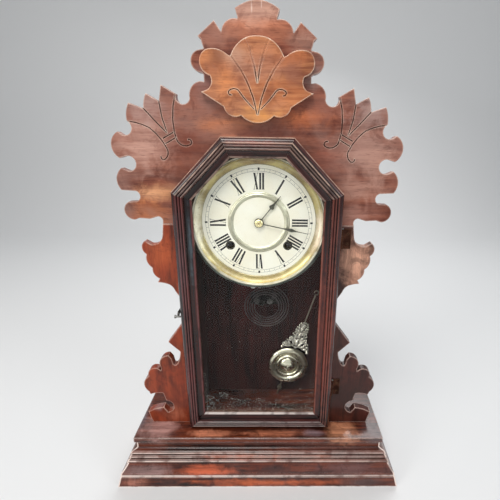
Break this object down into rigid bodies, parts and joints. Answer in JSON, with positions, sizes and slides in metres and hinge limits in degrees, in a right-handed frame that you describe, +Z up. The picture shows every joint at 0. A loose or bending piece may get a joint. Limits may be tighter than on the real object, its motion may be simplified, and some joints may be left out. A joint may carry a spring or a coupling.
{
  "type": "gingerbread clock",
  "caption": "Shelf clock with a scalloped fretwork front, octagon-topped glazed door, round dial, striking spring movement with coil gong, and a pendulum.",
  "frame": {"origin": "middle of the base's footprint, on the surface it stands on", "axes": "+Z up, +X to the viewer's right, +Y towards the back; the dial faces -Y"},
  "size_m": [0.368, 0.119, 0.565],
  "materials": {
    "base_wood": "varnished red-brown walnut, worn on the arrises",
    "fret_wood": "varnished walnut with a mahogany stain",
    "ornament_wood": "varnished, orange-brown grain",
    "door_wood": "nearly black varnish over red wood",
    "case_wood": "dark stain",
    "raw_wood": "unfinished, aged",
    "glass": "clear sheet with worn silver ornament on its lower part",
    "zinc": "dull zinc sheet",
    "dial_paper": "ivory printed paper with a metal centre ring",
    "gilt_brass": "polished, lightly worn",
    "brass": "aged",
    "pendulum_brass": "pale worn brass",
    "steel": "plain",
    "dark_steel": "blackened",
    "blued_steel": "dark blue-black",
    "iron": "black"
  },
  "bodies": {
    "case": {"base_board": "base_wood", "base_front_moulding": "base_wood", "base_left_moulding": "base_wood", "base_right_moulding": "base_wood", "base_back_rail": "raw_wood", "case_left_side": "case_wood", "case_right_side": "case_wood", "case_slopes": "case_wood", "case_top": "case_wood", "backboard": "raw_wood", "crest_board": "fret_wood", "left_wing": "fret_wood", "right_wing": "fret_wood", "crest_ornament": "ornament_wood", "case_hinge_leaves": "brass", "hinge_pins": "brass", "latch_screw": "steel", "dial_blocks": "raw_wood", "dial_pan": "zinc", "dial_paper": "dial_paper", "dial_bezel": "gilt_brass", "front_plate": "brass", "back_plate": "brass", "plate_pillars": "steel", "mainsprings": "steel", "gong_base": "iron", "gong_coil": "dark_steel"},
    "door": {"door_left_stile": "door_wood", "door_left_shoulder": "door_wood", "door_top_rail": "door_wood", "door_right_shoulder": "door_wood", "door_right_stile": "door_wood", "door_bottom_rail": "door_wood", "door_glass": "glass", "glazing_strips": "raw_wood", "catch_pin": "steel", "door_hinge_leaves": "brass"},
    "latch": {"latch_hook": "dark_steel"},
    "minute_hand": {"centre_arbor": "steel", "minute_hand": "blued_steel", "hand_collet": "brass"},
    "hour_hand": {"hour_wheel": "brass", "hour_hand": "blued_steel"},
    "minute_wheel": {"minute_wheel": "brass"},
    "centre_wheel": {"centre_wheel": "brass"},
    "second_wheel": {"second_wheel": "brass"},
    "fourth_wheel": {"fourth_wheel": "brass"},
    "escape_wheel": {"escape_wheel": "brass"},
    "time_great_wheel": {"time_great_wheel": "brass"},
    "time_winder": {"time_winding_arbor": "steel"},
    "strike_great_wheel": {"strike_great_wheel": "brass"},
    "hammer_wheel": {"hammer_wheel": "brass"},
    "fly": {"fly": "steel"},
    "strike_winder": {"strike_winding_arbor": "steel"},
    "strike_hammer": {"strike_hammer": "dark_steel"},
    "verge": {"verge": "steel"},
    "pendulum_leader": {"pendulum_leader": "steel"},
    "pendulum": {"pendulum_rod": "pendulum_brass", "pendulum_ornament": "pendulum_brass", "pendulum_bob": "pendulum_brass"}
  },
  "joints": [
    {"name": "door_swing", "type": "hinge", "parent": "case", "child": "door", "pos_m": [0.0962, -0.015, 0.232], "axis": [0, 0, 1], "range_deg": [0, 105]},
    {"name": "latch_lift", "type": "hinge", "parent": "case", "child": "latch", "pos_m": [-0.0963, 0.0045, 0.2355], "axis": [-1, 0, 0], "range_deg": [-6, 28]},
    {"name": "minute_hand_turn", "type": "hinge", "parent": "case", "child": "minute_hand", "pos_m": [0, -0.0095, 0.345], "axis": [0, 1, 0], "continuous": true},
    {"name": "hour_hand_turn", "type": "hinge", "parent": "case", "child": "hour_hand", "pos_m": [0, -0.008, 0.345], "axis": [0, 1, 0], "continuous": true},
    {"name": "minute_wheel_turn", "type": "hinge", "parent": "case", "child": "minute_wheel", "pos_m": [0.00983, 0.0025, 0.33812], "axis": [0, 1, 0], "continuous": true},
    {"name": "escape_wheel_turn", "type": "hinge", "parent": "case", "child": "escape_wheel", "pos_m": [0, 0.0049, 0.37852], "axis": [0, 1, 0], "continuous": true},
    {"name": "fourth_wheel_turn", "type": "hinge", "parent": "case", "child": "fourth_wheel", "pos_m": [0, 0.0115, 0.36282], "axis": [0, 1, 0], "continuous": true},
    {"name": "centre_wheel_turn", "type": "hinge", "parent": "case", "child": "centre_wheel", "pos_m": [0, 0.0375, 0.345], "axis": [0, 1, 0], "continuous": true},
    {"name": "second_wheel_turn", "type": "hinge", "parent": "case", "child": "second_wheel", "pos_m": [0.01872, 0.035, 0.34467], "axis": [0, 1, 0], "continuous": true},
    {"name": "time_great_wheel_turn", "type": "hinge", "parent": "case", "child": "time_great_wheel", "pos_m": [0.034, 0.0105, 0.3173], "axis": [0, 1, 0], "continuous": true},
    {"name": "time_winding", "type": "hinge", "parent": "case", "child": "time_winder", "pos_m": [0.034, 0.0075, 0.3173], "axis": [0, 1, 0], "continuous": true},
    {"name": "fly_turn", "type": "hinge", "parent": "case", "child": "fly", "pos_m": [-0.02593, 0.0225, 0.35824], "axis": [0, 1, 0], "continuous": true},
    {"name": "hammer_wheel_turn", "type": "hinge", "parent": "case", "child": "hammer_wheel", "pos_m": [-0.01872, 0.035, 0.34467], "axis": [0, 1, 0], "continuous": true},
    {"name": "strike_great_wheel_turn", "type": "hinge", "parent": "case", "child": "strike_great_wheel", "pos_m": [-0.034, 0.0105, 0.3173], "axis": [0, 1, 0], "continuous": true},
    {"name": "strike_winding", "type": "hinge", "parent": "case", "child": "strike_winder", "pos_m": [-0.034, 0.0075, 0.3173], "axis": [0, 1, 0], "continuous": true},
    {"name": "hammer_strike", "type": "hinge", "parent": "case", "child": "strike_hammer", "pos_m": [-0.01, 0.0375, 0.295], "axis": [0, 1, 0], "range_deg": [-2.2, 12], "stiffness_Nm_per_rad": 0.01},
    {"name": "leader_swing", "type": "hinge", "parent": "case", "child": "pendulum_leader", "pos_m": [0, -0.0023, 0.405], "axis": [0, 1, 0], "range_deg": [-3, 3]},
    {"name": "verge_rock", "type": "hinge", "parent": "case", "child": "verge", "pos_m": [0, 0.0051, 0.39352], "axis": [0, 1, 0], "range_deg": [-4, 4]},
    {"name": "pendulum_tip", "type": "hinge", "parent": "case", "child": "pendulum", "pos_m": [0.0238, 0.0455, 0.0618], "axis": [0, 1, 0], "range_deg": [-8, 0]}
  ],
  "couplings": [
    {"joint": "hour_hand_turn", "follows": "minute_hand_turn", "ratio": 0.083333},
    {"joint": "minute_wheel_turn", "follows": "minute_hand_turn", "ratio": -0.33333},
    {"joint": "fourth_wheel_turn", "follows": "escape_wheel_turn", "ratio": -0.090909},
    {"joint": "centre_wheel_turn", "follows": "escape_wheel_turn", "ratio": 0.0090909},
    {"joint": "second_wheel_turn", "follows": "escape_wheel_turn", "ratio": -0.0012987},
    {"joint": "time_great_wheel_turn", "follows": "escape_wheel_turn", "ratio": 0.00015279},
    {"joint": "hammer_wheel_turn", "follows": "fly_turn", "ratio": -0.14286},
    {"joint": "strike_great_wheel_turn", "follows": "fly_turn", "ratio": 0.016807},
    {"joint": "verge_rock", "follows": "leader_swing", "ratio": 1.33}
  ]
}
